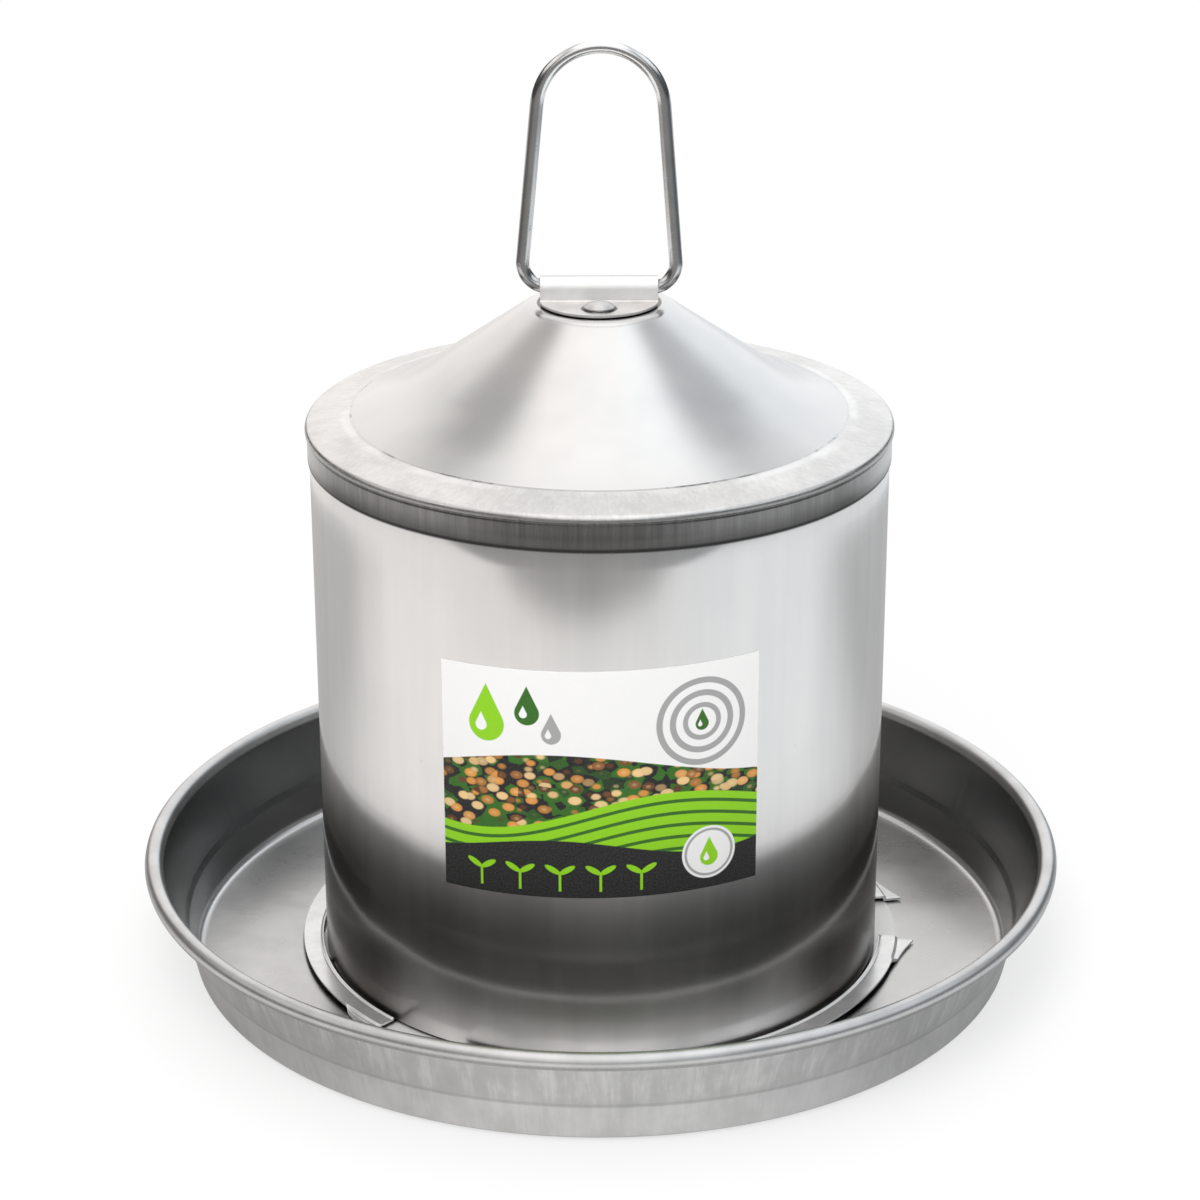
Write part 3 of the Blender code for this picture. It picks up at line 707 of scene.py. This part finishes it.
def makeBracket():
    middle = bracket["bore"] + bracket["sheet"] / 2
    footZ = lidHigh.z + bracket["lift"] + bracket["sheet"] / 2
    over = arcPath((0, pivotZ), middle, 0, math.pi, math.radians(bracket["barrelStep"]))
    rear = bentPath([(bracket["foot"], footZ, 0), (middle, footZ, bracket["bend"]), (*over[0], 0)])
    tip, root = math.radians(bracket["toeFrom"]), math.asin(rear[1].x / bracket["foot"])
    turns = [tip + (root - tip) * i / bracket["toeSteps"] for i in range(bracket["toeSteps"])]
    rear = [Vector((bracket["foot"] * math.sin(turn), footZ)) for turn in turns] + rear[1:]
    shape = bmesh.new()
    rows = []
    for y, z in rear + over[1:-1] + mirrored(rear):
        wide = min(bracket["half"], math.sqrt(bracket["foot"] ** 2 - y * y))
        shares = [2 * i / bracket["columns"] - 1 for i in range(bracket["columns"] + 1)]
        rows.append([shape.verts.new((wide * share, y, z)) for share in shares])
    for near, far in zip(rows, rows[1:]):
        for i in range(bracket["columns"]):
            shape.faces.new((near[i], near[i + 1], far[i + 1], far[i]))
    strap = addPiece("bail_strap", shape, "tank", ["handle_bracket"], [strapFinish()])
    shell = strap.modifiers.new("sheet", "SOLIDIFY")
    shell.thickness = bracket["sheet"]
    shell.offset = 0
    shell.use_even_offset = True
    shadeRound(settle(strap))
    easeEdges(strap, bracket["ease"], angle=bracket["easeOver"])
    print("bracket folded")
    return strap


def makeRivets(strap):
    finish = stripFinish("rivet_steel", rivet["tone"], rivet["rough"])
    rise = rivet["headH"] - rivet["shoulder"]
    domeR = (rivet["headR"] ** 2 + rise ** 2) / (2 * rise)
    domeEnd = math.pi / 2 - math.asin(rivet["headR"] / domeR)
    for word, (low, high) in rivetBoxes.items():
        spot = (low + high) / 2
        drill(strap, rivet["holeR"], rivet["drill"], spot)
        headZ, tailZ = high.z - rivet["headH"], low.z + rivet["tailH"]
        dome = arcPath((0, high.z - domeR), domeR, math.pi / 2, domeEnd, math.radians(rivet["domeStep"]))
        lower = bentPath([(*dome[-1], 0), (rivet["headR"], headZ, rivet["headRound"]),
                          (rivet["shank"], headZ, 0), (rivet["shank"], tailZ, 0), (rivet["tailR"], tailZ, 0),
                          (rivet["tailR"], low.z, rivet["tailRound"]), (0, low.z, 0)])
        shape = spinShape([(max(p.x, 0), p.y) for p in dome + lower[1:]], rivet["sides"])
        bmesh.ops.translate(shape, verts=shape.verts, vec=(0, spot.y, 0))
        addPiece(f"dome_rivet_{word}", shape, "tank", [f"bracket_rivet_{word}"], [finish])
    print("rivets set")


# Bail: one bent wire whose ends meet in the barrel
bail = dict(wire=1.6 * mm, topBend=14.8 * mm, topStep=4, corner=6.0 * mm, butt=0.3 * mm, slack=0.6 * mm,
            lean=0.6, run=3 * mm, sides=28, rough=0.15,
            tones=dict(bright=(grey(0.70), grey(0.82)), flank=grey(0.2), arch=grey(0.86), pit=grey(0.2)))


# Drawn wire: lengthwise die lines, a few dark rub spots, legs whose outer flanks are painted darker as shade,
# and painted light along the top of the arch
def wireFinish(archZ):
    finish, steel, place = startFinish("bail_drawn_wire")
    x, y, z = place.axes()
    tones = bail["tones"]
    lines = place.packed(x * 1800, y * 1800, z * 60).noise(1.0, 2.0, 0.6)
    pits = place.noise(520.0, 3.0, 0.7).rise(0.62, 0.74)
    tone = place.noise(90.0, 2.0).rise(0.3, 0.7).blend(*tones["bright"])
    facing = Wire(place.tree, place.socket.node.outputs["Normal"]).axes()[0]
    # painted shade: the legs' outer flanks are darker
    flank = (facing * (x * 900).lowest(1).highest(-1)).rise(0.05, 0.75)
    tone = (flank * 0.65).blend(tone, tones["flank"])
    # painted light: the top of the arch is paler
    tone = z.rise(archZ - 14 * mm, archZ - 6 * mm).blend(tone, tones["arch"])
    tone = (pits * 0.35).blend(tone, tones["pit"])
    plug(steel, Base_Color=tone, Metallic=1.0, Roughness=bail["rough"] + lines * 0.08 + pits * 0.15,
         Normal=(lines * 0.5 - pits).relief(0.008 * mm))
    return finish


def makeBail():
    straight = bracket["half"] - math.sqrt(bail["corner"] * bail["slack"])
    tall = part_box("bail_handle")[1].z - bail["wire"] - pivotZ
    top = Vector((0, tall - bail["topBend"]))
    corner = Vector((straight, bail["corner"]))
    span = top - corner
    slope = math.atan2(-span.x, span.y) + math.asin((bail["corner"] - bail["topBend"]) / span.length)
    half = [Vector((bail["butt"], 0)), *arcPath(corner, bail["corner"], -math.pi / 2, slope)]
    half += arcPath(top, bail["topBend"], slope, math.pi / 2, math.radians(bail["topStep"]))
    half = densePath(half, bail["run"])
    path = half + mirrored(half[:-1])
    lean = Matrix.Rotation(math.radians(bail["lean"]), 4, "Y")    # a little askew in its loose barrel
    lean = Matrix.Translation((0, 0, pivotZ)) @ lean @ Matrix.Translation((0, 0, -pivotZ))
    angles = [math.tau * k / bail["sides"] for k in range(bail["sides"])]
    sections = []
    for i, here in enumerate(path):
        along = (path[min(i + 1, len(path) - 1)] - path[max(i - 1, 0)]).normalized()
        side, deep = Vector((-along.y, 0, along.x)), Vector((0, 1, 0))
        centre = Vector((here.x, 0, pivotZ + here.y))
        ring = [centre + (side * math.cos(a) + deep * math.sin(a)) * bail["wire"] for a in angles]
        sections.append([lean @ spot for spot in ring])
    addPiece("bail_wire", loftShape(sections), "bail", ["bail_handle"],
             [wireFinish(pivotZ + tall)])
    print("bail bent")


# Label: thin coated paper on the tank's front, a little askew, printed in millimetres on the sheet
label = dict(half=37.85 * mm, offWall=0.3 * mm, glue=0.02 * mm, paper=0.25 * mm, tilt=1.2, trim=0.75 * mm,
             steps=72, ripples=(23.5, 14.0), rippleStep=3.1, rippleFrom=3.4, rippleReach=10.9,
             seedHill=(19, 2.1, 4.4, 3.2), greenHill=(15, 0.5, 4.6, -7.4), furrowStep=3.0, furrowFrom=0.9,
             ground=(12, 2.4, 2.4, -16.2), badge=(25.5, -19.2), badgeR=6.6, badgeLine=0.9, dropTall=2.3,
             drops=(((25.5, -20.4), 2.2, "green"), ((23.5, 13.4), 1.6, "deep"), ((-26.5, 14.2), 4.3, "green"),
                    ((-16.8, 17.6), 2.9, "deep"), ((-11.2, 12.6), 2.3, "silver")),
             seedling=dict(step=9.4, leafOut=1.7, leafLong=1.8, leafThick=0.8, leafZ=-22.0, leafPitch=0.5,
                           stemHalf=0.3, stemZ=-24.4, stemTall=2.2, rowMiddle=-9, rowHalf=24),
             inks=dict(white=grey(0.86, 0.006), green=(0.26, 0.62, 0.002, 1), deep=(0.03, 0.14, 0.008, 1),
                       dark=grey(0.012), silver=grey(0.36), brown=(0.10, 0.035, 0.010, 1),
                       amber=(0.72, 0.30, 0.06, 1), cream=(0.86, 0.62, 0.30, 1), dust=grey(0.5)))
inks = label["inks"]


def within(gap, edge=0.12):  # 1 where the distance to a shape is below 0
    return gap.fall(-edge, edge)


def sine(angle):
    return angle.maths("SINE", angle)


def apart(flat, spot):
    beside, above = flat[0] - spot[0], flat[1] - spot[1]
    return (beside * beside + above * above) ** 0.5


def overHill(flat, wave, phase, tall, level):  # height above a rolling line
    return flat[1] - sine(flat[0] / wave + phase) * tall - level


def dropMask(flat, spot, wide):  # round below, pointed above
    beside, above = (flat[0] - spot[0]).size(), flat[1] - spot[1]
    tall = label["dropTall"]
    point = (beside - (wide * tall - above) / math.sqrt(tall * tall - 1)).highest(wide / tall - above)
    return within((apart(flat, spot) - wide).lowest(point))


def addDrop(picture, flat, spot, wide, ink):  # a drop with a white glint
    picture = dropMask(flat, spot, wide).blend(picture, inks[ink])
    glint = dropMask(flat, (spot[0] - wide * 0.3, spot[1] - wide * 0.1), wide * 0.32)
    return glint.blend(picture, inks["white"])


def seedField(flat):  # round seeds on dark green soil
    u, v = flat
    seeds = u.packed(u * 0.3 + v * 0.1, v * 0.44 - u * 0.06, 0.0)
    kernel = seeds.cells(1.0)
    kind = seeds.cells(1.0, out="Color").axes()
    grain = kind[0].rise(0.1, 0.9).blend(inks["brown"], inks["amber"])
    grain = (kind[1].rise(0.55, 0.75) * 0.8).blend(grain, inks["cream"])
    grain = (kernel.fall(0.05, 0.3) * 0.35).blend(grain, inks["cream"])
    soil = kind[2].rise(0.4, 0.6).blend(inks["dark"], inks["deep"])
    return kernel.rise(0.38, 0.55).blend(grain, soil)


def seedlingRow(flat):
    u, v = flat
    seedling = label["seedling"]
    out = u.maths("PINGPONG", u + 8 * seedling["step"], seedling["step"] / 2)
    leafAcross = (out - seedling["leafOut"]) / seedling["leafLong"]
    leafUp = (v - seedling["leafZ"] - out * seedling["leafPitch"]) / seedling["leafThick"]
    leaf = within(leafAcross * leafAcross + leafUp * leafUp - 1, 0.2)
    stem = within((out - seedling["stemHalf"]).highest((v - seedling["stemZ"]).size() - seedling["stemTall"]))
    return leaf.highest(stem) * within((u - seedling["rowMiddle"]).size() - seedling["rowHalf"])


# Drops and ripples on white, over a hill of seeds, a furrowed hill and dark ground with seedlings and a badge
def labelPicture(flat):
    away = apart(flat, label["ripples"])
    rings = sine(away * (math.tau / label["rippleStep"])).rise(-0.1, 0.3)
    start = label["rippleFrom"]
    rings = rings * within(away - label["rippleReach"]) * away.rise(start - 0.1, start + 0.1)
    picture = rings.blend(inks["white"], inks["silver"])
    picture = within(overHill(flat, *label["seedHill"])).blend(picture, seedField(flat))
    depth = overHill(flat, *label["greenHill"])
    picture = within(depth).blend(picture, inks["green"])
    furrows = sine(depth * (math.tau / label["furrowStep"])).rise(0.5, 0.75)
    picture = (furrows * within(depth + label["furrowFrom"])).blend(picture, inks["deep"])
    picture = within(overHill(flat, *label["ground"])).blend(picture, inks["dark"])
    picture = seedlingRow(flat).blend(picture, inks["green"])
    away = apart(flat, label["badge"]) - label["badgeR"]
    picture = within(away).blend(picture, inks["white"])
    picture = within((away + label["badgeLine"]).size() - 0.3).blend(picture, inks["silver"])
    for spot, wide, ink in label["drops"]:
        picture = addDrop(picture, flat, spot, wide, ink)
    return picture


def labelFinish(middleZ, radius):
    finish, paper, place = startFinish("label_print")
    x, y, z = place.axes()
    u = x.maths("ARCTAN2", x, y * -1) * (radius / mm)
    v = (z - middleZ) / mm - u * math.tan(math.radians(label["tilt"]))
    speckle = place.packed(u, v, 0.0).noise(2.2, 3.0, 0.6)
    tone = (speckle.rise(0.35, 0.75) * 0.05).blend(labelPicture((u, v)), inks["dust"])
    plug(paper, Base_Color=tone, Roughness=0.36 + speckle * 0.1, Specular_IOR_Level=0.3,
         Normal=speckle.relief(0.012 * mm))
    return finish


def makeLabel():
    low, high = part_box("front_label")
    inner, outer = tankHigh.x + label["glue"], tankHigh.x + label["paper"]
    half = label["half"] / (tankHigh.x + label["offWall"])
    sections = []
    for i in range(label["steps"] + 1):
        angle = half * (2 * i / label["steps"] - 1)
        turn = Matrix.Rotation(angle - math.pi / 2, 3, "Z")
        askew = outer * angle * math.tan(math.radians(label["tilt"]))
        foot, head = low.z + label["trim"] + askew, high.z - label["trim"] + askew
        rim = [(inner, foot), (outer, foot), (outer, head), (inner, head)]
        sections.append([turn @ Vector((r, 0, z)) for r, z in rim])
    addPiece("paper_label", loftShape(sections), "tank", ["front_label"],
             [labelFinish((low.z + high.z) / 2, outer)])
    print("label stuck on")


# Seals, which show from no side
def dressSeals():
    finish, rubber, place = startFinish("seal_compound")
    lumps = place.noise(400.0, 4.0, 0.6)
    plug(rubber, Base_Color=lumps.blend(grey(0.02), grey(0.05)), Roughness=0.6 + lumps * 0.2,
         Normal=lumps.relief(0.1 * mm))
    dressNodes(("lid_seal", "rivet_washer_front", "rivet_washer_rear"), finish)
    print("seals dressed")


# Camera, fitted to the photo: focal length in pixels of its frame, place in metres, turns in degrees
view = dict(frameSide=1200, focal=3235.2, back=0.73586, high=0.38312, pitch=21.67, roll=-0.16, sensor=36.0)


def makeCamera():
    data = bpy.data.cameras.new("camera")
    data.sensor_width = view["sensor"]
    data.lens = view["focal"] / view["frameSide"] * view["sensor"]
    camera = addObject("camera", data)
    tilt = Matrix.Rotation(math.radians(90 - view["pitch"]), 4, "X")
    twist = Matrix.Rotation(math.radians(view["roll"]), 4, "Z")
    camera.matrix_world = Matrix.Translation((0, -view["back"], view["high"])) @ tilt @ twist
    scene.camera = camera
    print("camera placed")


# Floor: white to the camera, and in the metal's reflections a pale table that ends before a darker room
ground = dict(half=4.0, drop=0.2 * mm, tone=grey(0.86), tableFront=-0.325, tableSoft=0.042,
              tableEnd=(0.48, 0.62), tableGlow=1.02, rearFrom=(-0.06, 0.115), rearDim=0.68,
              rearEnd=(0.35, 0.39), rearBack=0.63, underShade=(0.105, 0.2), sideShade=(0.02, 0.095),
              roomGlow=0.24, backFrom=(0.35, 0.65), backGlow=0.71)


def floorFinish():
    finish, paint, place = startFinish("floor_white")
    x, y = place.axes()[:2]
    plug(paint, Base_Color=ground["tone"], Roughness=0.9, Specular_IOR_Level=0.0)
    reach = (x * x + y * y) ** 0.5
    front = ground["tableFront"]
    table = (y + x * 0.1).rise(front - ground["tableSoft"], front) * reach.fall(*ground["tableEnd"])
    rear = ground["rearDim"] - reach.rise(*ground["rearEnd"]) * ground["rearBack"]
    rear = y.rise(*ground["rearFrom"]) * rear
    shade = 1 - reach.fall(*ground["underShade"]) * (0.1 + x.size().rise(*ground["sideShade"]) * 0.46)
    beyond = ground["roomGlow"] + y.rise(*ground["backFrom"]) * ground["backGlow"]
    level = beyond + table * (shade * (ground["tableGlow"] - rear) - beyond)
    side = x.rise(-0.15, 0.35) * 0.06 - 0.025                     # warm on the left, cool on the right
    tinted = place.node("CombineColor", None, {0: level * (1 - side), 1: level, 2: level * (1 + side)})
    glow = place.node("Emission", None, {"Color": tinted, "Strength": 1.0})
    white = place.node("Emission", None, {"Color": grey(1.0), "Strength": 1.0})
    seen = place.node("LightPath", out="Is Camera Ray") * (0.7 + reach.rise(0.13, 0.34) * 0.3)
    reflected = place.node("LightPath", out="Is Glossy Ray") * (1 - table * 0.25)
    layShaders(finish, (seen, white), (reflected, glow))
    return finish


def makeFloor():
    shape = bmesh.new()
    bmesh.ops.create_grid(shape, x_segments=1, y_segments=1, size=ground["half"])
    floor = addObject("floor", toMesh("floor", shape))
    floor.location.z = -ground["drop"]
    floor.data.materials.append(floorFinish())
    print("floor laid")


# Room: soft light overhead, a pale backdrop, and a darker room on the other sides with light wings
room = dict(level=0.64, slant=0.12, overhead=0.83, backdrop=0.58, dim=0.9, wings=0.85, tint=0.03)


def makeRoom():
    world = bpy.data.worlds.new("studio")
    scene.world = world
    world.use_nodes = True
    tree = world.node_tree
    way = Wire(tree, tree.nodes.new("ShaderNodeTexCoord").outputs["Generated"])
    x, y, z = way.axes()
    flat = ((x * x + y * y) ** 0.5).highest(0.01)
    overhead = (x.size() + y.highest(0) * 0.36).fall(0.36, 0.56) * z.rise(0.6, 0.85)
    behind = (y / flat + z * 0.45).rise(0.9, 0.99)
    backdrop = behind * z.fall(0.5, 0.8)
    dim = (1 - behind) * z.fall(0.55, 0.78)
    fill = (y * -1 / flat).rise(0.8, 0.95) * (z.rise(0.03, 0.12) * 0.5 + z.rise(0.2, 0.35) * 0.55)
    wings = x.size().rise(0.45, 0.7) * z.rise(0.34, 0.46) * y.fall(0.2, 0.5) * room["wings"]
    level = room["level"] + x * room["slant"] + overhead * room["overhead"] + backdrop * room["backdrop"]
    level = level * (1 - dim * room["dim"]) + (fill + wings) * z.fall(0.62, 0.82)
    camera = way.node("LightPath", out="Is Camera Ray")
    level = level * (1 - camera) + camera                         # white to the camera
    side = (x.rise(-0.3, 0.6) * 2 - 0.8) * (1 - camera) * room["tint"]   # warm on the left, cool on the right
    colour = way.node("CombineColor", None, {0: level * (1 - side), 1: level, 2: level * (1 + side)})
    sky = tree.nodes["Background"].inputs
    sky["Strength"].default_value = 1.0
    tree.links.new(colour.socket, sky["Color"])
    print("room lit")


# Key lamp: a softbox above the camera and to its left, which the metal does not mirror
lamp = dict(power=8.2, size=0.6, place=(-0.2, -0.75, 1.15), aim=(0, 0, 0.08))


def makeLamp():
    softbox = bpy.data.lights.new("key_softbox", "AREA")
    softbox.size = lamp["size"]
    softbox.energy = lamp["power"]
    key = addObject("key_softbox", softbox)
    key.location = lamp["place"]
    key.rotation_euler = (Vector(lamp["aim"]) - key.location).to_track_quat("-Z", "Y").to_euler()
    key.visible_glossy = False
    print("lamp hung")


makeTrough()
makeKeepers()
makeTank()
makeLid()
makeRivets(makeBracket())
makeBail()
makeLabel()
dressSeals()
makeCamera()
makeFloor()
makeRoom()
makeLamp()
print("scene ready")
